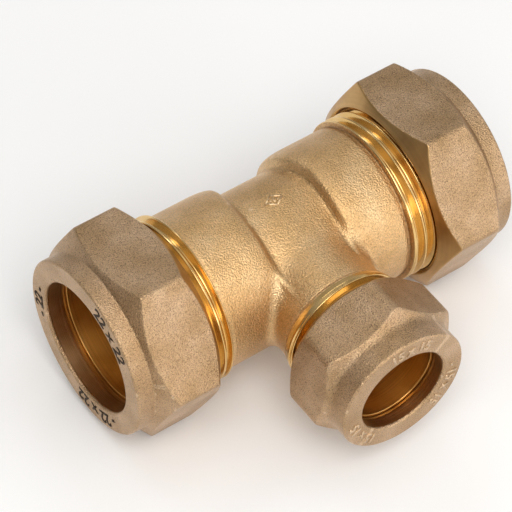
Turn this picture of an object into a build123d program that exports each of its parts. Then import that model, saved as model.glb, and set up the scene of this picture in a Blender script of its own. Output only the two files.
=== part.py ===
from build123d import *
import math
import os

# Compression reducing tee, 22 x 22 x 15 mm. The run lies along X, the branch points to -Y,
# and the origin is where the two axes cross.

# tube sockets
run_tube_dia = 22.0
branch_tube_dia = 15.0
socket_gap = 0.05            # radial room for the tube in the body and the ring
nut_bore_gap = 0.15          # radial room for the tube in the nut

# thread, 14 turns to the inch with 55 degree flanks, on all three ends
pitch = 25.4 / 14
thread_depth = 1.166
flank_angle = 27.5
crest_flat = 0.30
thread_gap = 0.08            # radial gap between body thread and nut thread
flank_gap = 0.05             # axial gap on each flank
run_thread_r = run_tube_dia / 2 + 3.2
branch_thread_r = branch_tube_dia / 2 + 2.98

# body
run_barrel_r = run_thread_r - 0.84
centre_r = run_barrel_r - 1.96
run_barrel_end = 17.4
run_end = 24.0
run_stop = 11.5              # shoulder that the pushed-in tube meets
run_waterway_r = run_tube_dia / 2 - 1.5
branch_barrel_r = branch_thread_r - 0.78
branch_barrel_end = 17.25
branch_end = 24.3
branch_stop = 14.0
branch_waterway_r = branch_tube_dia / 2 - 1
crotch_fillet = 1.6

# nuts
run_flats = 2 * run_thread_r + 3.6
run_nut_length = 15.07
run_collar_r = run_thread_r + 0.8
left_face = run_end + 11.58   # nut's outer face at rest, measured from the origin
right_face = run_end + 12.42
branch_flats = 2 * branch_thread_r + 2.74
branch_nut_length = 13.65
branch_collar_r = branch_thread_r + 0.87
branch_face = branch_end + 10.03

# compression rings
ring_taper = 30.0            # degrees from the axis, on the ring, the nut and the body's mouth
seat_gap = 0.06              # radial gap between nut and ring
run_ring_length = 6.5
branch_ring_length = 5.8

taper = math.tan(math.radians(ring_taper))
flank = math.tan(math.radians(flank_angle))
hex_cone = 0.7               # axial rise of the chamfer cone for each mm of radius
mouth_depth = 0.95           # plain mouth of each nut, which clears the runout of the body's thread

run = dict(
    tube_r=run_tube_dia / 2, thread_r=run_thread_r, end=run_end, flats=run_flats,
    length=run_nut_length, collar_r=run_collar_r, corner=1.0, root=0.35,
    front_corner=5.3, rear_corner=12.73, ring_length=run_ring_length,
    ring_wall=1.65, ring_land=0.50, ring_depth=3.9, groove_start=run_barrel_end + 0.85,
    barrel_end=run_barrel_end, step=0.05,
)
branch = dict(
    tube_r=branch_tube_dia / 2, thread_r=branch_thread_r, end=branch_end, flats=branch_flats,
    length=branch_nut_length, collar_r=branch_collar_r, corner=1.8, root=1.5,
    front_corner=5.5, rear_corner=11.92, ring_length=branch_ring_length,
    ring_wall=1.40, ring_land=0.45, ring_depth=3.1, groove_start=branch_barrel_end + 1.05,
    barrel_end=branch_barrel_end, step=0.45,
)
ends = {
    "left": dict(run, out=Vector(-1, 0, 0), face=left_face, turn=-55.63),
    "right": dict(run, out=Vector(1, 0, 0), face=right_face, turn=54.49),
    "branch": dict(branch, out=Vector(0, -1, 0), face=branch_face, turn=141.86),
}


def end_plane(e):
    """Plane across one end's axis: Z points out of the end."""
    return Plane(origin=(0, 0, 0), x_dir=(abs(e["out"].Y), abs(e["out"].X), 0), z_dir=e["out"])


def end_axis(e):
    return Axis((0, 0, 0), e["out"])


def half_plane(e, seam=0):
    """Plane that holds one end's axis: X is the radius, Y the distance out along the axis."""
    side = end_plane(e).x_dir.rotate(end_axis(e), seam)
    return Plane(origin=(0, 0, 0), x_dir=side, z_dir=side.cross(e["out"]))


def screw_cutter(e, narrow_r, wide_r, spread, start, end):
    """V groove along the end's helix, as wide at its narrow radius as a thread's flat crest."""
    narrow = crest_flat / 2 + spread
    wide = narrow + abs(wide_r - narrow_r) * flank
    with BuildPart() as cutter:
        with BuildLine() as line:
            Helix(pitch, end - start, e["thread_r"], center=e["out"] * start, direction=e["out"])
        path = line.wire()
        point = path @ 0
        side = (point - e["out"] * point.dot(e["out"])).normalized()
        with BuildSketch(Plane(origin=(0, 0, 0), x_dir=side, z_dir=side.cross(e["out"]))):
            Polygon((narrow_r, start - narrow), (wide_r, start - wide), (wide_r, start + wide),
                    (narrow_r, start + narrow), align=None)
        sweep(path=path, is_frenet=True)
    return cutter.part


def cut_thread(blank, e, cutter):
    """Cut the groove in the blank, with the seam of its round faces at the first angle that
    gives a clean solid: a groove that leaves the blank on a seam spoils it."""
    for seam in range(12, 360, 29):
        solid = blank(e, seam)
        threaded = solid - cutter
        share = (solid.volume - threaded.volume) / cutter.volume
        if 0.2 < share < 1 and threaded.is_valid:
            return threaded
    raise ValueError("no clean thread")


def spigot(e, seam):
    """Plain blank of one end of the body, from the end of its barrel out to its mouth."""
    base, thread_r, end = e["barrel_end"], e["thread_r"], e["end"]
    socket_r = e["tube_r"] + socket_gap
    mouth_r = thread_r - 1.8
    with BuildPart() as part:
        with BuildSketch(half_plane(e, seam)):
            Polygon((socket_r, base), (thread_r - e["step"], base),
                    (thread_r, base + e["step"] * 3), (thread_r, end - 0.9), (thread_r - 0.9, end),
                    (mouth_r, end), (socket_r, end - (mouth_r - socket_r) / taper), align=None)
        revolve(axis=end_axis(e))
    return part.part


def nut_blank(e, seam):
    """Collared hexagon with its bore, the cone that pinches the ring, and a plain thread bore."""
    face, rear = e["face"], e["face"] - e["length"]
    with BuildPart() as part:
        with BuildSketch(end_plane(e).offset(rear)):
            RegularPolygon(e["flats"] / 2, 6, major_radius=False, rotation=e["turn"])
            fillet(vertices(), radius=e["corner"])
        extrude(amount=e["length"])
        with BuildSketch(half_plane(e, seam)) as outline:
            Polygon((0, rear), (e["rear_r"], rear),
                    (e["corner_r"] + 1, face - e["rear_corner"] + hex_cone),
                    (e["corner_r"] + 1, face - e["front_corner"] - hex_cone),
                    (e["collar_r"], face - e["collar_u"]), (e["collar_r"], face), (0, face),
                    align=None)
            root = outline.vertices().sort_by_distance(
                half_plane(e, seam).from_local_coords((e["collar_r"], face - e["collar_u"], 0)))
            fillet(root[0], radius=e["root"])
        revolve(axis=end_axis(e), mode=Mode.INTERSECT)
        front = part.edges().filter_by(GeomType.CIRCLE).filter_by(
            lambda edge: abs(edge.arc_center.dot(e["out"]) - face) < 0.01)
        fillet(front, radius=0.35)
        with BuildSketch(half_plane(e, seam)):
            Polygon((0, rear), (e["rear_r"] - 0.1, rear), (e["root_r"] + 0.05, rear + 0.3),
                    (e["root_r"] + 0.05, rear + mouth_depth),
                    (e["crest_r"], rear + mouth_depth + thread_depth + 0.05),
                    (e["crest_r"], face - e["chamber_u"]), (e["bore_r"], face - e["cone_u"]),
                    (e["bore_r"], face - 0.35), (e["bore_r"] + 0.35, face), (0, face), align=None)
            Polygon((e["bore_r"], e["relief"]), (e["root_r"] + 0.05, e["relief"]),
                    (e["root_r"] + 0.05, e["relief"] - pitch), (e["bore_r"], e["relief"] - pitch),
                    align=None)
        revolve(axis=end_axis(e), mode=Mode.SUBTRACT)
    return part.part


# sizes of each nut that follow from those above
for e in ends.values():
    e["bore_r"] = e["tube_r"] + nut_bore_gap
    e["crest_r"] = e["thread_r"] - thread_depth + thread_gap
    e["root_r"] = e["thread_r"] + thread_gap
    e["corner_r"] = (e["flats"] / 2 - e["corner"]) / math.cos(math.pi / 6) + e["corner"]
    e["rear_r"] = e["corner_r"] - (e["length"] - e["rear_corner"]) / hex_cone
    e["collar_u"] = e["front_corner"] - (e["corner_r"] - e["collar_r"]) * hex_cone
    ring_end_r = e["tube_r"] + socket_gap + e["ring_land"] + seat_gap
    e["cone_u"] = e["ring_depth"] - (ring_end_r - e["bore_r"]) / taper
    e["chamber_u"] = e["cone_u"] + (e["crest_r"] - e["bore_r"]) / taper
    e["relief"] = e["face"] - e["chamber_u"] - 0.4

os.makedirs("parts", exist_ok=True)

# body: forged run and branch with a soft crotch, then the waterways and tube sockets
with BuildPart() as tee:
    for side in ("left", "right"):
        e = ends[side]
        with BuildSketch(half_plane(e)):
            with BuildLine():
                l1 = Polyline((0, 0), (centre_r, 0), (centre_r, 4.2))
                l2 = Spline(l1 @ 1, (12.2, 5.45), (13.0, 6.67), (run_barrel_r, 8.4),
                            tangents=((0, 1), (0, 1)))
                Polyline(l2 @ 1, (run_barrel_r, run_barrel_end), (0, run_barrel_end), (0, 0))
            make_face()
        revolve(axis=end_axis(e))
    e = ends["branch"]
    with BuildSketch(half_plane(e)):
        Polygon((0, 0), (branch_barrel_r, 0), (branch_barrel_r, branch_barrel_end),
                (0, branch_barrel_end), align=None)
    revolve(axis=end_axis(e))
    crotch = tee.edges(Select.NEW).filter_by(
        lambda edge: edge.center().Y > 1 - branch_barrel_end
        and abs(math.hypot((edge @ 0.5).X, (edge @ 0.5).Z) - branch_barrel_r) < 0.01)
    fillet(crotch, radius=crotch_fillet)

    # plain raised lozenge on the top of the centre section
    with BuildSketch(Plane.XY.offset(centre_r - 1)):
        Polygon((-3.4, 0), (0, -2.6), (3.4, 0), (0, 2.6), align=None)
    extrude(amount=1.35)

    for side, e in ends.items():
        stop, water_r = (branch_stop, branch_waterway_r) if side == "branch" else (run_stop, run_waterway_r)
        with BuildSketch(half_plane(e)):
            Polygon((0, 0), (water_r, 0), (water_r, stop), (e["tube_r"] + socket_gap, stop),
                    (e["tube_r"] + socket_gap, e["barrel_end"] + 1), (0, e["barrel_end"] + 1),
                    align=None)
        revolve(axis=end_axis(e), mode=Mode.SUBTRACT)

    for e in ends.values():
        thread = screw_cutter(e, e["thread_r"] - thread_depth, e["thread_r"] + 0.2, 0,
                              e["groove_start"], e["end"] + pitch)
        add(cut_thread(spigot, e, thread))
tee.part.label = "tee_body"
export_step(tee.part, "parts/tee_body.step")

# nuts: their ridges sit midway between the body's
for side, e in ends.items():
    start = e["groove_start"] + pitch / 2
    start += pitch * math.floor((e["face"] - e["length"] - 1 - start) / pitch)
    thread = screw_cutter(e, e["root_r"], e["crest_r"] - 0.2, flank_gap - thread_gap * flank,
                          start, e["relief"] - pitch / 2)
    nut = cut_thread(nut_blank, e, thread)
    nut.label = side + "_nut"
    export_step(nut, "parts/" + side + "_nut.step")

# compression rings, tapered at both ends
for side, e in ends.items():
    inner_r = e["tube_r"] + socket_gap
    outer_r = inner_r + e["ring_wall"]
    land_r = inner_r + e["ring_land"]
    tip = e["face"] - e["ring_depth"]
    tail = tip - e["ring_length"]
    rise = (outer_r - land_r) / taper
    with BuildPart() as ring:
        with BuildSketch(half_plane(e)):
            Polygon((inner_r, tail), (land_r, tail), (outer_r, tail + rise), (outer_r, tip - rise),
                    (land_r, tip), (inner_r, tip), align=None)
        revolve(axis=end_axis(e))
        ring.part.label = side + "_ring"
    export_step(ring.part, "parts/" + side + "_ring.step")
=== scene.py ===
import math

import bmesh
import bpy
import numpy as np
from mathutils import Matrix, Vector


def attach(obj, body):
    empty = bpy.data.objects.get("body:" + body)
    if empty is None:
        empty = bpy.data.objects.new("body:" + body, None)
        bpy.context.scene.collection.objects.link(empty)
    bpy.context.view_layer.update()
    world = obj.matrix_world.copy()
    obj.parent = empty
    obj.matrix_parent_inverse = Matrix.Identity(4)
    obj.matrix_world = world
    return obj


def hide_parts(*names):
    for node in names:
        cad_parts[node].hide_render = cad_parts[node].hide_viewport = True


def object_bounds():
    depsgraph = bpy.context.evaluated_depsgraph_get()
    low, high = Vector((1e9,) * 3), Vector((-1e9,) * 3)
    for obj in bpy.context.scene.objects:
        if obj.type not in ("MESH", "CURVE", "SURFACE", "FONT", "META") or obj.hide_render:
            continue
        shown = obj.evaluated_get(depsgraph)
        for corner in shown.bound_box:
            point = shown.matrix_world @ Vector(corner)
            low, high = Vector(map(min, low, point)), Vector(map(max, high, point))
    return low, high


mm = 0.001
weldGap = 1e-6  # metres, points closer than this become one
arcSteps = 6    # spans in a rounded corner
fullTurn = 2 * math.pi
coneSlope = math.tan(math.radians(30))  # of every cone that squeezes a ring
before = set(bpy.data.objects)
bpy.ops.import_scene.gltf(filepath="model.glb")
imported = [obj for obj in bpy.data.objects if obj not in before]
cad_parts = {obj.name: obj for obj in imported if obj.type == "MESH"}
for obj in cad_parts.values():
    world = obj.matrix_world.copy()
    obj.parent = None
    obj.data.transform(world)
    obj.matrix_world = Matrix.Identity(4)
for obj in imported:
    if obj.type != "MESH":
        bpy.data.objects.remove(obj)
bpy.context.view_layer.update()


# small helpers

def linear(hexColour):
    parts = [int(hexColour[i:i + 2], 16) / 255 for i in (1, 3, 5)]
    return tuple(c / 12.92 if c <= 0.04045 else ((c + 0.055) / 1.055) ** 2.4 for c in parts) + (1.0,)


def smoothMin(a, b, k):
    h = np.clip(0.5 + 0.5 * (b - a) / k, 0, 1)
    return b + (a - b) * h - k * h * (1 - h)


def smoothStep(lo, hi, v):
    t = np.clip((v - lo) / (hi - lo), 0, 1)
    return t * t * (3 - 2 * t)


def resample(points, step):
    # evenly spaced points along a polyline, corners kept
    out = [points[0]]
    for a, b in zip(points, points[1:]):
        n = max(1, int(math.ceil(math.dist(a, b) / step)))
        out += [(a[0] + (b[0] - a[0]) * i / n, a[1] + (b[1] - a[1]) * i / n) for i in range(1, n + 1)]
    return out


def roundCorner(a, b, c, radius):
    # points of the arc that rounds corner b between a and c
    a, b, c = (np.array(p, float) for p in (a, b, c))
    u, v = (a - b) / np.linalg.norm(a - b), (c - b) / np.linalg.norm(c - b)
    half = math.acos(np.clip(u @ v, -1, 1)) / 2
    reach = radius / math.tan(half)
    p, q = b + u * reach, b + v * reach
    centre = b + (u + v) / np.linalg.norm(u + v) * radius / math.sin(half)
    out = []
    for t in np.arange(arcSteps + 1) / arcSteps:
        d = (p - centre) * (1 - t) + (q - centre) * t
        out.append(tuple(centre + d / np.linalg.norm(d) * radius))
    return out


# where each end lies

endAxes = {
    "left": dict(out=(-1, 0, 0), side=(0, 1, 0), letter="X"),
    "right": dict(out=(1, 0, 0), side=(0, 1, 0), letter="X"),
    "branch": dict(out=(0, -1, 0), side=(1, 0, 0), letter="Y"),
}


def place(end, radius, along, angle):
    # points in mm, from radius, distance out along the end's axis and angle about it
    out, side = np.array(endAxes[end]["out"], float), np.array(endAxes[end]["side"], float)
    up = np.cross(out, side)
    around = np.cos(angle)[..., None] * side + np.sin(angle)[..., None] * up
    return along[..., None] * out + radius[..., None] * around


class Shell:
    # collects faces in mm with a material number each, and becomes one mesh

    def __init__(self):
        self.verts, self.faces, self.mats, self.count = [], [], [], 0

    def grid(self, points, mats, closed=True, flip=False):
        rows, cols = points.shape[:2]
        index = np.arange(rows * cols).reshape(rows, cols)
        nxt = np.roll(index, -1, axis=1)
        if not closed:
            index, nxt = index[:, :-1], nxt[:, :-1]
        quads = np.stack([index[:-1], nxt[:-1], nxt[1:], index[1:]], axis=-1)
        if flip:
            quads = quads[..., ::-1]
        mats = np.asarray(mats)
        if mats.ndim < 2:
            mats = np.repeat(np.broadcast_to(mats, (rows - 1,)), quads.shape[1])
        self.add(points.reshape(-1, 3), quads.reshape(-1, 4).tolist(), mats.ravel())

    def add(self, points, faces, mats):
        self.verts.append(points)
        self.faces += [[i + self.count for i in face] for face in faces]
        self.mats.append(np.broadcast_to(mats, (len(faces),)))
        self.count += len(points)

    def build(self, name, materials):
        mesh = bpy.data.meshes.new(name)
        mesh.from_pydata((np.concatenate(self.verts) * mm).tolist(), [], self.faces)
        mesh.polygons.foreach_set("material_index", np.concatenate(self.mats).astype(np.int32))
        for m in materials:
            mesh.materials.append(m)
        bm = bmesh.new()
        bm.from_mesh(mesh)
        bmesh.ops.remove_doubles(bm, verts=bm.verts, dist=weldGap)
        bm.to_mesh(mesh)
        bm.free()
        mesh.shade_smooth()
        obj = bpy.data.objects.new(name, mesh)
        bpy.context.scene.collection.objects.link(obj)
        return obj


class Profile:
    # a turned outline of (radius, along) points, with a material for each span; step is the longest span

    def __init__(self):
        self.rows, self.mats = [], []

    def run(self, points, mat, step):
        # the first point of every run but the first one is where the last run ended
        new = resample(points, step)
        if self.rows:
            new = new[1:]
        self.mats += [mat] * (len(new) if self.rows else len(new) - 1)
        self.rows += new

    def line(self, to, mat, step):
        self.run([self.rows[-1], to], mat, step)


def turned(rows, segments):
    # radius, distance along and angle of each point when the rows are turned about their axis
    r, w = (np.array([p[k] for p in rows])[:, None] * np.ones(segments) for k in (0, 1))
    return r, w, np.ones(len(rows))[:, None] * (np.arange(segments) * fullTurn / segments)


def lathe(shell, end, rows, mats, segments, radiusAt=None):
    # rows go from the outside surface to the inside, mats has one number for each span
    r, w, a = turned(rows, segments)
    if radiusAt:
        r = radiusAt(r, w, a)
    shell.grid(place(end, r, w, a), mats)


# materials

def addNode(tree, kind, links=None, **settings):
    node = tree.nodes.new(kind)
    inputs = settings.pop("inputs", {})
    for key, value in settings.items():
        setattr(node, key, value)
    for key, value in inputs.items():
        node.inputs[key].default_value = value
    for key, source in (links or {}).items():
        tree.links.new(source, node.inputs[key])
    return node


def ramp(tree, source, stops):
    # stops are (place, hex colour) or (place, grey)
    node = addNode(tree, "ShaderNodeValToRGB", {"Fac": source})
    elements = node.color_ramp.elements
    while len(elements) < len(stops):
        elements.new(0.5)
    for element, (at, colour) in zip(elements, stops):
        element.position = at
        element.color = linear(colour) if isinstance(colour, str) else (colour, colour, colour, 1)
    return node.outputs["Color"]


def newMaterial(name):
    material = bpy.data.materials.new(name)
    material.use_nodes = True
    tree = material.node_tree
    tree.nodes.clear()
    shader = addNode(tree, "ShaderNodeBsdfPrincipled", inputs={"Metallic": 1.0})
    out = addNode(tree, "ShaderNodeOutputMaterial", {"Surface": shader.outputs["BSDF"]})
    where = addNode(tree, "ShaderNodeTexCoord").outputs["Object"]
    return material, tree, shader, where


def mixed(tree, blend, amount, first, second):
    # 0, 6 and 7 are the factor and the two colours of a Mix node, and 2 is its colour out
    node = addNode(tree, "ShaderNodeMix", data_type="RGBA", blend_type=blend, clamp_result=False)
    for socket, value in ((0, amount), (6, first), (7, second)):
        if hasattr(value, "is_linked"):
            tree.links.new(value, node.inputs[socket])
        else:
            node.inputs[socket].default_value = value
    return node.outputs[2]


def blastedBrass(name, look):
    # forged brass, shot-blasted: a fine satin grain that glitters, slow drifts of tone, worn pale edges
    # and painted shade that browns the hollows
    material, tree, shader, where = newMaterial(name)
    grain = addNode(tree, "ShaderNodeTexNoise", {"Vector": where},
                    inputs={"Scale": 1 / (look["grainMm"] * mm), "Detail": 2.0, "Roughness": 0.6})
    pits = addNode(tree, "ShaderNodeTexVoronoi", {"Vector": where},
                   inputs={"Scale": 1 / (look["pitMm"] * mm)}, feature="SMOOTH_F1")
    drift = addNode(tree, "ShaderNodeTexNoise", {"Vector": where},
                    inputs={"Scale": 1 / (look["driftMm"] * mm), "Detail": 4.0, "Roughness": 0.55})
    speck = addNode(tree, "ShaderNodeTexNoise", {"Vector": where},
                    inputs={"Scale": 1 / (look["speckMm"] * mm), "Detail": 1.0, "Roughness": 0.6})
    tone = ramp(tree, drift.outputs["Fac"],
                [(0.3, look["dark"]), (0.5, look["mid"]), (0.7, look["light"])])
    flecks = ramp(tree, speck.outputs["Fac"],
                  [(0.38, look["fleckDark"]), (0.5, 0.86), (0.6, look["fleckLight"])])
    colour = mixed(tree, "MULTIPLY", 1.0, tone, flecks)
    shape = addNode(tree, "ShaderNodeNewGeometry").outputs["Pointiness"]
    edge = ramp(tree, shape, [(look["edge"][0], 0.0), (look["edge"][1], 1.0)])
    # painted shade: places that pointiness finds hollow are darkened towards a shade colour
    hollowShade = ramp(tree, shape, [(look["hollowShade"][0], 1.0), (look["hollowShade"][1], 0.0)])
    patchy = addNode(tree, "ShaderNodeMath", {0: edge, 1: speck.outputs["Fac"]}, operation="MULTIPLY")
    colour = mixed(tree, "MIX", patchy.outputs["Value"], colour, linear(look["worn"]))
    colour = mixed(tree, "MULTIPLY", hollowShade, colour, linear(look["hollowShadeColour"]))
    tree.links.new(colour, shader.inputs["Base Color"])
    rough = addNode(tree, "ShaderNodeMapRange", {"Value": speck.outputs["Fac"]},
                    inputs={"From Min": 0.35, "From Max": 0.65,
                            "To Min": look["rough"][0], "To Max": look["rough"][1]})
    tree.links.new(rough.outputs["Result"], shader.inputs["Roughness"])
    height = addNode(tree, "ShaderNodeMath", {0: grain.outputs["Fac"], 1: pits.outputs["Distance"]},
                     operation="ADD")
    bump = addNode(tree, "ShaderNodeBump", {"Height": height.outputs["Value"]},
                   inputs={"Strength": look["bump"], "Distance": look["bumpMm"] * mm})
    tree.links.new(bump.outputs["Normal"], shader.inputs["Normal"])
    return material


def turnedBrass(name, look, axis):
    # brass as a lathe leaves it: bright, with fine rings about the axis it was turned on
    material, tree, shader, where = newMaterial(name)
    along = addNode(tree, "ShaderNodeSeparateXYZ", {"Vector": where}).outputs["XYZ".index(axis)]
    line = addNode(tree, "ShaderNodeCombineXYZ", {"X": along})
    rings = addNode(tree, "ShaderNodeTexNoise", {"Vector": line.outputs["Vector"]},
                    inputs={"Scale": 1 / (look["ringMm"] * mm), "Detail": 2.0, "Roughness": 0.6})
    drift = addNode(tree, "ShaderNodeTexNoise", {"Vector": where},
                    inputs={"Scale": 1 / (look["driftMm"] * mm), "Detail": 3.0})
    tone = ramp(tree, drift.outputs["Fac"], [(0.35, look["dark"]), (0.65, look["light"])])
    bands = ramp(tree, rings.outputs["Fac"], [(0.35, look["band"]), (0.6, 1.0)])
    tree.links.new(mixed(tree, "MULTIPLY", 1.0, tone, bands), shader.inputs["Base Color"])
    rough = addNode(tree, "ShaderNodeMapRange", {"Value": rings.outputs["Fac"]},
                    inputs={"From Min": 0.3, "From Max": 0.7,
                            "To Min": look["rough"][0], "To Max": look["rough"][1]})
    tree.links.new(rough.outputs["Result"], shader.inputs["Roughness"])
    bump = addNode(tree, "ShaderNodeBump", {"Height": rings.outputs["Fac"]},
                   inputs={"Strength": look["bump"], "Distance": look["bumpMm"] * mm})
    tree.links.new(bump.outputs["Normal"], shader.inputs["Normal"])
    return material


# blasted forging: the shot leaves marks of about 0.1 mm, drawn about twice as coarse so that they show;
# it gives a warm satin skin without sharp reflections
# this look also sets painted shade for the hollows: a pointiness range and the darker colour it fades to
bodyLook = dict(grainMm=0.21, pitMm=0.26, driftMm=7.0, speckMm=0.19, dark="#D6AC74", mid="#E6BD88",
                light="#F2CE9C", fleckDark=0.66, fleckLight=1.0, rough=(0.28, 0.44), bump=1.0, bumpMm=0.095,
                edge=(0.53, 0.60), hollowShade=(0.41, 0.493), worn="#F6DDB4", hollowShadeColour="#8E7252")
# the nuts are blasted finer and have darkened: a cooler, browner satin than the body
# with the same kind of painted shade in its hollows
nutLook = dict(grainMm=0.18, pitMm=0.22, driftMm=6.0, speckMm=0.17, dark="#B8966E", mid="#C8A680",
               light="#D6B592", fleckDark=0.60, fleckLight=1.0, rough=(0.27, 0.44), bump=1.0, bumpMm=0.10,
               edge=(0.53, 0.60), hollowShade=(0.40, 0.48), worn="#EBD0AE", hollowShadeColour="#8C7460")
# freshly cut thread: the tool's marks are finer than 0.1 mm, drawn coarser; bright with hard glints
threadLook = dict(ringMm=0.14, driftMm=5.0, dark="#E2B974", light="#F0CC8E", band=0.85, rough=(0.12, 0.24),
                  bump=0.3, bumpMm=0.008)
# bored inside of the nuts: visible tool rings that break the reflection into dark and light bands
boreLook = dict(ringMm=0.16, driftMm=4.0, dark="#CCA678", light="#E2BE92", band=0.6, rough=(0.24, 0.38),
                bump=0.5, bumpMm=0.012)
# reamed tube sockets: smoother and yellower than the bores
socketLook = dict(ringMm=0.3, driftMm=5.0, dark="#E4B468", light="#F0C47C", band=0.85, rough=(0.28, 0.40),
                  bump=0.3, bumpMm=0.008)
# compression rings, turned from bar: plain yellow, a soft sheen
ringLook = dict(ringMm=0.25, driftMm=4.0, dark="#DDAE62", light="#F0C478", band=0.8, rough=(0.26, 0.38),
                bump=0.3, bumpMm=0.006)
# chamfer turned over the hexagon's rear corners: a little duller and browner than the thread
coneLook = dict(ringMm=0.35, driftMm=4.0, dark="#B9925E", light="#CDA56E", band=0.85, rough=(0.30, 0.42),
                bump=0.3, bumpMm=0.006)

bodyBrass = blastedBrass("forgedBrassBlasted", bodyLook)
nutBrass = blastedBrass("forgedNutBrassBlasted", nutLook)
threadBrass = {a: turnedBrass("turnedThreadBrass" + a, threadLook, a) for a in "XY"}
boreBrass = {a: turnedBrass("turnedBoreBrass" + a, boreLook, a) for a in "XY"}
coneBrass = {a: turnedBrass("turnedChamferBrass" + a, coneLook, a) for a in "XY"}
socketBrass = turnedBrass("turnedSocketBrass", socketLook, "X")
ringBrass = {a: turnedBrass("turnedRingBrass" + a, ringLook, a) for a in "XY"}
# size figures: painted shadow darkens them, so that they read against the collar
figureShadowLook = dict(nutLook, dark="#3A2D22", mid="#46372A", light="#524232", worn="#46372A", rough=(0.55, 0.7))
paintedFigureShadow = blastedBrass("stampedFigureShadow", figureShadowLook)
print("materials made", flush=True)


# threads

thread = dict(pitch=25.4 / 14, depth=1.166, rootFlat=0.30, slope=math.tan(math.radians(27.5)), gap=0.09,
              rootRound=0.35, crestRound=0.08, runOut=(0.7, 0.4), leadIn=0.9, step=0.055)
# crest is one point on each helix, as (distance along, degrees)
ends = {
    "left": dict(major=14.2, end=24.0, groove=18.25, tube=11.05, mouth=12.4, crest=(19.30, -101)),
    "right": dict(major=14.2, end=24.0, groove=18.25, tube=11.05, mouth=12.4, crest=(19.33, 94)),
    "branch": dict(major=10.48, end=24.3, groove=19.6, tube=7.55, mouth=8.68, crest=(19.05, 95)),
}


def threadRadius(e, along, angle, gap=0.0, fade=True):
    # radius of the screw surface: a V groove round every point where the helix passes
    p = thread["pitch"]
    crestAt, crestAngle = e["crest"]
    turns = (along - crestAt) / p + 0.5 - (angle - math.radians(crestAngle)) / fullTurn
    offset = np.abs(turns - np.round(turns)) * p
    minor = e["major"] - thread["depth"]
    r = minor + (offset - thread["rootFlat"] / 2) / thread["slope"]
    r = -smoothMin(-r, -np.full_like(r, minor), thread["rootRound"])
    r = smoothMin(r, np.full_like(r, e["major"]), thread["crestRound"])
    if fade:
        start, full = thread["runOut"]
        lead = smoothStep(e["groove"] - start, e["groove"] - full, along)
        r = e["major"] - (e["major"] - r) * lead
    return r + gap


# tee body

tee = dict(
    barrelR=13.36, barrelEnd=17.4, branchR=9.7, branchEnd=17.25,
    stop=11.5, waterR=9.5, branchStop=14.0, branchWaterR=6.5,
    leftShift=1.1, rightShift=1.7,        # how much further out the shoulders stand on the branch's side
    frontFrom=1.0, frontTo=9.5,           # y over which that fades towards the back
    blend=((4.8, 7.8), (3.0, 1.7)),       # width of the crotch's blend: at these x, these widths
    cell=0.3, fieldLow=(-15.0, -17.7, -15.0), fieldHigh=(15.0, 15.0, 15.0),
    cut=13.6, branchCut=16.6,             # where the forged skin ends and the turned rows begin
    segments=240, branchSegments=208,
    waterSegments=160, waterRows=8, wallSegments=120,
    openX=7.0, openZ=8.0,                 # half sizes of the run's wall patch round the branch's hole
    branchWayFrom=0.5,                    # the branch's waterway starts this far inside its stop
)
# radius of the shoulder against x
shoulder = np.array([
    (4.2, 11.4), (4.6, 11.42), (4.85, 11.52), (5.1, 11.8), (5.35, 12.25), (5.6, 12.66),
    (5.9, 12.95), (6.4, 13.12), (7.1, 13.24), (7.9, 13.32), (8.6, 13.36), (9.2, 13.36)])
shoulderSlope = ((4.2, 4.8, 5.1, 5.6, 6.0, 9.0), (0, 0.6, 1.6, 1.4, 0.4, 0))  # how steep, against x
teeMats = dict(forged=0, thread=1, socket=2)


def bodyField(p):
    # signed distance to the forged skin, in mm: run and branch with a blend between, tighter by the barrels;
    # the shoulders stand further out on the branch's side than at the back
    y, z = p[..., 1], p[..., 2]
    front = 1 - smoothStep(tee["frontFrom"], tee["frontTo"], y)
    x = np.abs(p[..., 0]) - np.where(p[..., 0] < 0, tee["leftShift"], tee["rightShift"]) * front
    runR = np.interp(x, shoulder[:, 0], shoulder[:, 1])
    slope = np.interp(x, *shoulderSlope)
    run = (np.hypot(y, z) - runR) / np.sqrt(1 + slope ** 2)
    side = np.hypot(p[..., 0], z) - tee["branchR"]
    branch = np.maximum(side, y)
    return smoothMin(run, branch, np.interp(x, *tee["blend"]))


def cornerOf(corner):
    # picks, out of the grid's values, those at this corner of every cell
    return tuple(slice(i, i - 1 or None) for i in corner)


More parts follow.
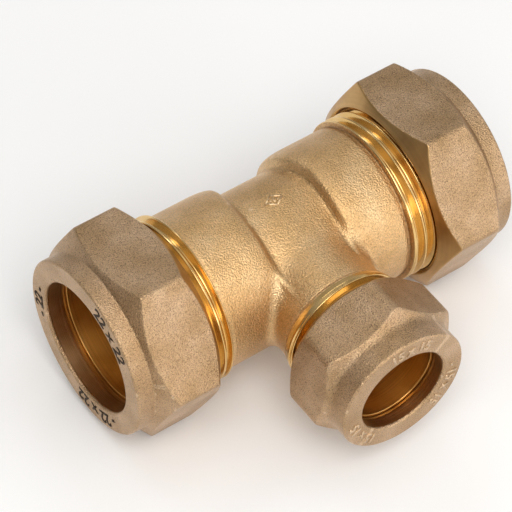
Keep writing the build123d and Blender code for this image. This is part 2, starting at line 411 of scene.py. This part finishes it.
def surfaceNet(field, lo, hi, cell):
    # quads on the field's zero surface: one vertex in each grid cell that the surface crosses
    size = [int(round((b - a) / cell)) + 1 for a, b in zip(lo, hi)]
    axes = [a + cell * np.arange(n) for a, n in zip(lo, size)]
    values = field(np.stack(np.meshgrid(*axes, indexing="ij"), axis=-1))
    inside = values < 0
    total = np.zeros([n - 1 for n in size] + [3])
    hits = np.zeros([n - 1 for n in size])
    base = np.stack(np.meshgrid(*[np.arange(n - 1) for n in size], indexing="ij"), axis=-1)
    for axis in range(3):
        others = [a for a in range(3) if a != axis]
        for u in (0, 1):
            for v in (0, 1):
                a = [0, 0, 0]
                a[others[0]], a[others[1]] = u, v
                b = list(a)
                b[axis] = 1
                va, vb = values[cornerOf(a)], values[cornerOf(b)]
                crossed = (va < 0) != (vb < 0)
                t = np.where(crossed, va / np.where(crossed, va - vb, 1), 0)
                point = (base + np.array(a)).astype(float)
                point[..., axis] += t
                total += np.where(crossed[..., None], point, 0)
                hits += crossed
    used = hits > 0
    number = -np.ones(used.shape, int)
    number[used] = np.arange(used.sum())
    verts = total[used] / hits[used][:, None] * cell + np.array(lo)
    quads = []
    for axis in range(3):
        u, v = (axis + 1) % 3, (axis + 2) % 3
        first = np.take(inside, range(size[axis] - 1), axis)
        second = np.take(inside, range(1, size[axis]), axis)
        crossed = first != second
        where = np.argwhere(crossed)
        past = (where[:, u] > 0) & (where[:, v] > 0)
        where = where[past & (where[:, u] < size[u] - 1) & (where[:, v] < size[v] - 1)]
        outward = first[tuple(where.T)]
        cells = []
        for du, dv in ((1, 1), (0, 1), (0, 0), (1, 0)):
            c = where.copy()
            c[:, u] -= du
            c[:, v] -= dv
            cells.append(number[tuple(c.T)])
        q = np.stack(cells, axis=1)
        q[~outward] = q[~outward][:, ::-1]
        quads.append(q)
    return verts, np.concatenate(quads)


def settle(field, points, rounds=4, step=1e-3):
    # moves points along the field's gradient until they lie on its zero surface
    for _ in range(rounds):
        value = field(points)
        grad = np.stack([(field(points + step * d) - field(points - step * d)) / (2 * step)
                         for d in np.eye(3)], axis=-1)
        points = points - value[:, None] * grad / np.maximum((grad ** 2).sum(-1), 0.2)[:, None]
    return points


def forgedSkin(shell):
    # run and branch in one skin, cut square where the turned rows take over
    verts, quads = surfaceNet(bodyField, tee["fieldLow"], tee["fieldHigh"], tee["cell"])
    verts = settle(bodyField, verts)
    bm = bmesh.new()
    made = [bm.verts.new(v) for v in verts]
    for q in quads:
        bm.faces.new([made[i] for i in q])
    for at, normal in (((tee["cut"], 0, 0), (1, 0, 0)), ((-tee["cut"], 0, 0), (-1, 0, 0)),
                       ((0, -tee["branchCut"], 0), (0, -1, 0))):
        bmesh.ops.bisect_plane(bm, geom=bm.verts[:] + bm.edges[:] + bm.faces[:], plane_co=at,
                               plane_no=normal, clear_outer=True)
    bm.verts.index_update()
    points = np.array([v.co for v in bm.verts])
    faces = [[v.index for v in f.verts] for f in bm.faces]
    bm.free()
    shell.add(points, faces, teeMats["forged"])


def spigot(e, base, stepUp, inner):
    # outside from the cut in the barrel to the mouth, then down the socket to the tube stop
    major, end, lead = e["major"], e["end"], thread["leadIn"]
    forged, cut, socket = (teeMats[k] for k in ("forged", "thread", "socket"))
    coneDepth = (e["mouth"] - e["tube"]) / coneSlope
    outline = Profile()
    outline.run(stepUp, forged, 0.25)
    outline.run([stepUp[-1], base], cut, 0.2)
    outline.run([base, (major, end - lead)], cut, thread["step"])
    outline.run([(major, end - lead), (major - lead, end)], cut, 0.1)
    outline.run([(major - lead, end), (e["mouth"], end)], cut, 0.3)
    outline.run([(e["mouth"], end), (e["tube"], end - coneDepth)], socket, 0.3)
    outline.line((e["tube"], inner["stop"]), socket, 1.0)
    outline.line((inner["waterR"], inner["stop"]), socket, 0.5)
    outline.line((inner["waterR"], inner["to"]), socket, 1.0)
    return outline


def cutThread(end, start):
    # what the lathe does to the radius to cut the end's screw beyond the distance start
    e = ends[end]

    def cut(r, along, angle):
        onThread = (r > e["major"] - thread["leadIn"] - 0.05) & (along > start)
        return np.where(onThread, np.minimum(r, threadRadius(e, along, angle)), r)
    return cut


# bars are (x, y) to (x, y) from the emblem's middle; each flares from its top to its foot
emblem = dict(at=(0.0, 0.25), radius=11.5, proud=0.16, sunk=0.3, width=0.30, topTaper=0.6, footTaper=1.6,
              bars=[(-1.6, 0, 0, 1.05), (0, 1.05, 1.6, 0), (1.6, 0, 0, -1.05), (0, -1.05, -1.6, 0),
                    (-0.6, -0.15, -0.6, 0.35), (0, -0.55, 0, 0.55), (0.6, -0.35, 0.6, 0.15)])


def raiseEmblem(shell):
    # a plain lozenge with three bars, forged proud on top of the centre
    cx, cy = emblem["at"]
    for x0, y0, x1, y1 in emblem["bars"]:
        first, last = np.array((x0, y0)), np.array((x1, y1))
        ahead = (last - first) / math.dist(first, last)
        beside = np.array((-ahead[1], ahead[0])) * emblem["width"] / 2
        points = []
        for level, taper in ((-emblem["sunk"], emblem["footTaper"]), (emblem["proud"], emblem["topTaper"])):
            edge = beside * taper
            for p in (first - edge, last - edge, last + edge, first + edge):
                turn = (p[1] + cy) / emblem["radius"]
                around = np.array((0, math.sin(turn), math.cos(turn)))
                skin = settle(bodyField, np.array([(p[0] + cx, 0, 0)]) + emblem["radius"] * around)[0]
                points.append(skin + around * level)
        faces = [[4, 5, 6, 7]] + [[i, (i + 1) % 4, (i + 1) % 4 + 4, i + 4] for i in range(4)]
        shell.add(np.array(points), faces, teeMats["forged"])


def waterways(shell):
    # where they cross: the branch's tube, then the run's wall around its hole
    branchR, runR, mat = tee["branchWaterR"], tee["waterR"], teeMats["socket"]
    phi = np.arange(tee["waterSegments"]) * fullTurn / tee["waterSegments"]
    x, z = branchR * np.cos(phi), branchR * np.sin(phi)
    yHole = -np.sqrt(runR ** 2 - z ** 2)
    t = np.linspace(0, 1, tee["waterRows"])[:, None]
    y = yHole * (1 - t) + -(tee["branchStop"] - tee["branchWayFrom"]) * t
    shell.grid(np.stack([x + 0 * y, y, z + 0 * y], -1), mat)

    # a patch that grows from the round hole to a rectangle
    reach = np.minimum(tee["openX"] / np.maximum(np.abs(np.cos(phi)), 1e-9),
                       tee["openZ"] / np.maximum(np.abs(np.sin(phi)), 1e-9))
    rho = branchR * (1 - t) + reach * t
    px, pz = rho * np.cos(phi), rho * np.sin(phi)
    shell.grid(np.stack([px, -np.sqrt(runR ** 2 - pz ** 2), pz], -1), mat, flip=True)

    # the rest of the run's wall
    limit = math.asin(tee["openZ"] / runR)
    a = np.linspace(-math.pi + limit, math.pi - limit, tee["wallSegments"])
    xs = np.linspace(-tee["openX"], tee["openX"], tee["waterRows"])[:, None] + 0 * a
    shell.grid(np.stack([xs, runR * np.cos(a) + 0 * xs, runR * np.sin(a) + 0 * xs], -1), mat, closed=False)


def buildTee():
    shell = Shell()
    forgedSkin(shell)
    raiseEmblem(shell)

    # barrels roll over to the root of the thread
    r, bEnd, major = tee["barrelR"], tee["barrelEnd"], ends["left"]["major"]
    barrelStep = [(r, tee["cut"]), (r, bEnd - 0.9), (r - 0.08, bEnd - 0.6), (r - 0.14, bEnd - 0.3),
                  (r - 0.1, bEnd - 0.06), (major - 0.14, bEnd + 0.03)]
    for end in ("left", "right"):
        outline = spigot(ends[end], (major, bEnd + 0.2), barrelStep,
                         dict(stop=tee["stop"], waterR=tee["waterR"], to=tee["openX"]))
        lathe(shell, end, outline.rows, outline.mats, tee["segments"], cutThread(end, bEnd + 0.1))

    # the branch has a short neck before its thread
    r, bEnd, major = tee["branchR"], tee["branchEnd"], ends["branch"]["major"]
    branchStep = [(r, tee["branchCut"]), (r - 0.02, bEnd - 0.35), (r - 0.12, bEnd - 0.12), (r - 0.1, bEnd),
                  (major - 0.38, bEnd + 0.03), (major - 0.28, bEnd + 0.45)]
    outline = spigot(ends["branch"], (major, bEnd + 1.3), branchStep,
                     dict(stop=tee["branchStop"], waterR=tee["branchWaterR"],
                          to=tee["branchStop"] - tee["branchWayFrom"]))
    lathe(shell, "branch", outline.rows, outline.mats, tee["branchSegments"], cutThread("branch", bEnd + 0.9))
    waterways(shell)
    obj = shell.build("teeBody", [bodyBrass, threadBrass["X"], socketBrass])
    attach(obj, "body")
    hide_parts("tee_body")
    return obj


teeObject = buildTee()
print("tee built", len(teeObject.data.polygons), flush=True)


# nuts and rings

# places ending in Corner and coneU are distances back from the nut's face
nutSizes = {
    "run": dict(flats=32.0, corner=1.0, length=15.07, collarR=15.0, frontCorner=5.3, rearCorner=12.73,
                rootFillet=0.35, edge=0.42, lip=0.45, boreR=11.15, coneU=3.1, segments=360),
    "branch": dict(flats=23.7, corner=1.8, length=13.65, collarR=11.35, frontCorner=5.5, rearCorner=11.92,
                   rootFillet=1.5, edge=0.42, lip=0.45, boreR=7.65, coneU=2.3, segments=288),
}
nutMats = dict(forged=0, thread=1, bore=2, figures=3, cone=4)
# face is its distance out, turn the angle of its first corner; figures are (text, degrees) round the collar
nuts = {
    "left": dict(size="run", face=35.58, turn=math.radians(-55.63), markMat="figures",
                 mark=dict(radius=13.15, height=2.3, depth=0.035, weight=0.09,
                           groups=[("22 x 22", -125), ("- 22 -", 5), ("- 22 x 22", 105)])),
    "right": dict(size="run", face=36.42, turn=math.radians(54.49), markMat="figures",
                  mark=dict(radius=13.15, height=2.3, depth=0.035, weight=0.09,
                            groups=[("22 x 22", 70), ("- 22 -", 190), ("- 22 x 22", 310)])),
    "branch": dict(size="branch", face=34.33, turn=math.radians(141.86), markMat="forged",
                   mark=dict(radius=9.6, height=1.9, depth=0.09, weight=0.07,
                             groups=[("15 x 15", 85), ("- 15 x 15", 335), ("15 x 15", 215)])),
}
hexCone = 0.7    # how far a chamfer runs along the nut for each mm of radius
hexRound = 0.28  # softening where chamfer and flats meet
nutFit = dict(
    crest=0.08, root=0.1,         # the nut's crests and roots, outside the body's roots and crests
    relief=0.14, mouth=0.13,      # relief groove and plain mouth, outside the body's thread
    reliefFrom=0.4,               # from the chamber's end to the groove
    mouthFrom=2.2, mouthFull=0.95, mouthTurn=0.3,  # distances from the rear where the mouth changes
)
boreRows = 40    # this many rows before the thread are inside the nut, where no hexagon reaches
fontRise = 1.35  # the font's size for a figure one high


def hexRadius(s, angle):
    # radius of a hexagon with rounded corners, corners at angle 0 and every 60 degrees
    a = np.abs((angle + math.pi / 6) % (math.pi / 3) - math.pi / 6)
    flat = s["flats"] / 2 / np.cos(math.pi / 6 - a)
    cornerAt = (s["flats"] / 2 - s["corner"]) / math.cos(math.pi / 6)
    arc = cornerAt * np.cos(a) + np.sqrt(np.maximum(s["corner"] ** 2 - (cornerAt * np.sin(a)) ** 2, 0))
    touch = s["corner"] * 0.5 / (s["flats"] / 2) * 1.03  # the rounding reaches to about this angle
    return np.where(a < touch, np.minimum(arc, flat), flat)


def stampFigures(shell, end, nut, mark, mat):
    # size figures bent round the collar's face, standing a hair proud of it
    for text, turn in mark["groups"]:
        curve = bpy.data.curves.new("figures", "FONT")
        curve.body, curve.size, curve.align_x = text, mark["height"] * fontRise, "CENTER"
        curve.extrude, curve.offset, curve.resolution_u = mark["depth"], mark["weight"], 3
        holder = bpy.data.objects.new("figures", curve)
        mesh = bpy.data.meshes.new_from_object(holder)
        x, y, z = np.array([v.co for v in mesh.vertices]).T
        points = place(end, mark["radius"] - mark["height"] / 2 + y, nut["face"] + z,
                       math.radians(turn) - x / mark["radius"])
        shell.add(points, [list(f.vertices) for f in mesh.polygons], mat)
        bpy.data.objects.remove(holder)
        bpy.data.meshes.remove(mesh)
        bpy.data.curves.remove(curve)


def buildNut(end):
    nut, s = nuts[end], nutSizes[nuts[end]["size"]]
    e = ends[end]
    face, rear = nut["face"], nut["face"] - s["length"]
    cornerR = (s["flats"] / 2 - s["corner"]) / math.cos(math.pi / 6) + s["corner"]
    rearR = cornerR - (s["length"] - s["rearCorner"]) / hexCone
    collarAt = face - s["frontCorner"] + (cornerR - s["collarR"]) * hexCone
    over = cornerR + 1.0  # outside the hexagon, which then cuts the rows down
    frontTop = face - s["frontCorner"] - hexCone
    crestR = e["major"] - thread["depth"] + nutFit["crest"]
    chamber = face - s["coneU"] - (crestR - s["boreR"]) / coneSlope
    relief, reliefR = chamber - nutFit["reliefFrom"], e["major"] + nutFit["relief"]
    mouth, mouthR = (rearR - 0.1, rear), e["major"] + nutFit["mouth"]

    # outside, from the thread mouth at the rear to the face
    forged, bore, cut = nutMats["forged"], nutMats["bore"], nutMats["thread"]
    outline = Profile()
    outline.run([mouth, (rearR, rear + 0.02)], forged, 0.2)
    outline.line((over, face - s["rearCorner"] + hexCone), forged, 0.14)
    coneEnd = len(outline.rows) - 1
    outline.line((over, frontTop), forged, 0.3)
    root, rim, hole = (s["collarR"], collarAt), (s["collarR"], face), (s["boreR"], face)
    for before, at, after, radius, step in (
            ((over, frontTop), root, rim, s["rootFillet"], 0.14), (root, rim, (0, face), s["edge"], 0.14),
            (rim, hole, (s["boreR"], face - 2), s["lip"], 0.2)):
        outline.run([outline.rows[-1]] + roundCorner(before, at, after, radius), forged, step)

    # in through the bore, the ring's cone, the chamber and the relief groove
    threadAt = relief - thread["pitch"]
    for to, step in (((s["boreR"], face - s["coneU"]), 0.3), ((crestR, chamber), 0.4),
                     ((crestR, relief), 0.4), ((reliefR, relief), 0.4),
                     ((reliefR, threadAt), 0.3), ((crestR, threadAt), 0.4)):
        outline.line(to, bore, step)
    threadTop = len(outline.rows)
    outline.line((crestR, rear + nutFit["mouthFrom"]), cut, 0.06)
    outline.line((mouthR, rear + nutFit["mouthFull"]), cut, 0.1)
    outline.run([outline.rows[-1], (mouthR, rear + nutFit["mouthTurn"]), mouth], cut, 0.12)

    # the hexagon cuts the outside down, and the screw cuts into the inside
    r, w, a = turned(outline.rows, s["segments"])
    rowNumber = np.arange(len(r))[:, None] * np.ones(s["segments"])
    hexR = hexRadius(s, a)
    onCone = (rowNumber < coneEnd) & (r < hexR)
    mats = np.where(onCone[:-1], nutMats["cone"], np.array(outline.mats)[:, None])
    outside = (rowNumber < threadTop - boreRows) & (r > rearR - 0.05)
    r = np.where(outside, smoothMin(r, hexR, hexRound), r)
    screw = threadRadius(e, w, a + nut["turn"], gap=thread["gap"], fade=False)
    r = np.where(rowNumber >= threadTop - 1, np.maximum(r, np.minimum(screw, e["major"] + nutFit["root"])), r)
    shell = Shell()
    shell.grid(place(end, r, w, a + nut["turn"]), mats)
    # the run nuts' figures take the dark material of painted shadow, the branch nut's plain nut brass
    stampFigures(shell, end, nut, nut["mark"], nutMats[nut["markMat"]])
    letter = endAxes[end]["letter"]  # of the axis that the tool marks follow
    obj = shell.build(end + "Nut", [nutBrass, threadBrass[letter], boreBrass[letter], paintedFigureShadow,
                                   coneBrass[letter]])
    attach(obj, end + "_nut_body")
    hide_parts(end + "_nut")
    return obj


ringSizes = {
    "run": dict(inner=11.05, land=11.55, outer=12.7, length=6.5, depth=3.9, edge=0.09, shoulder=0.5),
    "branch": dict(inner=7.55, land=8.0, outer=8.95, length=5.8, depth=3.1, edge=0.09, shoulder=0.5),
}


def buildRing(end):
    s = ringSizes[nuts[end]["size"]]
    tip = nuts[end]["face"] - s["depth"]
    tail = tip - s["length"]
    rise = (s["outer"] - s["land"]) / coneSlope
    # (radius, along, rounding), from the tail's bore out over the barrel-shaped outside to the tip's bore
    corners = [(s["inner"], tail, s["edge"]), (s["land"], tail, s["edge"]),
               (s["outer"], tail + rise, s["shoulder"]), (s["outer"], tip - rise, s["shoulder"]),
               (s["land"], tip, s["edge"]), (s["inner"], tip, s["edge"])]
    rows = []
    for before, at, after in zip(corners[-1:] + corners, corners, corners[1:] + corners[:1]):
        rows += roundCorner(before[:2], at[:2], after[:2], at[2])
    rows = resample(rows + rows[:1], 0.8)
    shell = Shell()
    lathe(shell, end, rows, 0, 200)
    obj = shell.build(end + "Ring", [ringBrass[endAxes[end]["letter"]]])
    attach(obj, end + "_ring_carrier")
    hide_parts(end + "_ring")


for end in nuts:
    nutObject = buildNut(end)
    buildRing(end)
    print(end, "nut and ring built", len(nutObject.data.polygons), flush=True)


# floor, lights and camera

camera = dict(at=(-181.14, -237.44, 357.00), right=(0.81558, -0.57823, 0.02184),
              up=(0.43334, 0.63537, 0.63915), ahead=(0.38345, 0.51182, -0.76877), lens=206.7,
              sensor=36.0, clip=(0.01, 20.0))
stage = dict(floorHalf=3.0, floor="#FCFCFC", floorRough=0.9, target=(0, -6, 0))
lights = [
    # name, place in mm, size in mm, power in W, colour
    ("keySoftbox", (-160, -260, 440), (320, 320), 1.35, "#FFFDF9"),
    ("frontStrip", (190, -440, 110), (420, 170), 0.50, "#FFF8F0"),
    ("topStrip", (40, 330, 400), (360, 90), 0.25, "#FFFFFF"),
]
# stops run from behind the studio to the direction towards, side from left to right, both as greys
sky = dict(towards=(0.30, -0.75, 0.59), strength=1.0,
           stops=[(0.0, 0.30), (0.48, 0.50), (0.54, 0.85), (0.60, 0.20),
                  (0.68, 0.70), (0.80, 1.1), (0.87, 0.30), (0.94, 1.05)],
           side=[(0.06, 0.40), (0.32, 0.95), (1.0, 0.9)])


def link(name, data):
    obj = bpy.data.objects.new(name, data)
    bpy.context.scene.collection.objects.link(obj)
    return obj


def buildFloor():
    # matt white paint: it takes soft shadows and shows no reflections
    low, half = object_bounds()[0], stage["floorHalf"]
    mesh = bpy.data.meshes.new("paleFloor")
    mesh.from_pydata([(-half, -half, low.z), (half, -half, low.z), (half, half, low.z), (-half, half, low.z)],
                     [], [(0, 1, 2, 3)])
    material = bpy.data.materials.new("paleFloorPaint")
    material.use_nodes = True
    shader = material.node_tree.nodes["Principled BSDF"]
    shader.inputs["Base Color"].default_value = linear(stage["floor"])
    shader.inputs["Roughness"].default_value = stage["floorRough"]
    mesh.materials.append(material)
    link("paleFloor", mesh)


def buildLights():
    target = Vector(stage["target"]) * mm
    for name, at, size, power, colour in lights:
        data = bpy.data.lights.new(name, "AREA")
        data.shape = "RECTANGLE"
        data.size, data.size_y = size[0] * mm, size[1] * mm
        data.energy = power
        data.color = linear(colour)[:3]
        lamp = link(name, data)
        lamp.location = Vector(at) * mm
        lamp.rotation_euler = (target - lamp.location).to_track_quat("-Z", "Y").to_euler()


def buildSky():
    # bands of light and dark that the brass reflects, as in a small tent studio
    world = bpy.data.worlds.new("studio")
    world.use_nodes = True
    tree = world.node_tree
    where = addNode(tree, "ShaderNodeTexCoord").outputs["Generated"]
    facing = addNode(tree, "ShaderNodeVectorMath", {0: where}, operation="DOT_PRODUCT",
                     inputs={1: sky["towards"]}).outputs["Value"]
    across = addNode(tree, "ShaderNodeSeparateXYZ", {"Vector": where}).outputs["X"]
    tones = []
    for source, stops in ((facing, sky["stops"]), (across, sky["side"])):
        half = addNode(tree, "ShaderNodeMapRange", {"Value": source}, inputs={"From Min": -1.0})
        tones.append(ramp(tree, half.outputs["Result"], stops))
    back = tree.nodes["Background"]
    tree.links.new(mixed(tree, "MULTIPLY", 1.0, *tones), back.inputs["Color"])
    back.inputs["Strength"].default_value = sky["strength"]
    bpy.context.scene.world = world
    bpy.context.scene.view_settings.view_transform = "Standard"


def buildCamera():
    data = bpy.data.cameras.new("mainView")
    data.lens, data.sensor_width = camera["lens"], camera["sensor"]
    data.clip_start, data.clip_end = camera["clip"]
    eye = link("mainView", data)
    right, up, ahead = (Vector(camera[k]).normalized() for k in ("right", "up", "ahead"))
    facing = Matrix((right, up, -ahead)).transposed().to_4x4()
    eye.matrix_world = Matrix.Translation(Vector(camera["at"]) * mm) @ facing
    bpy.context.scene.camera = eye


buildFloor()
buildLights()
buildSky()
buildCamera()
print("floor, lights and camera placed", flush=True)
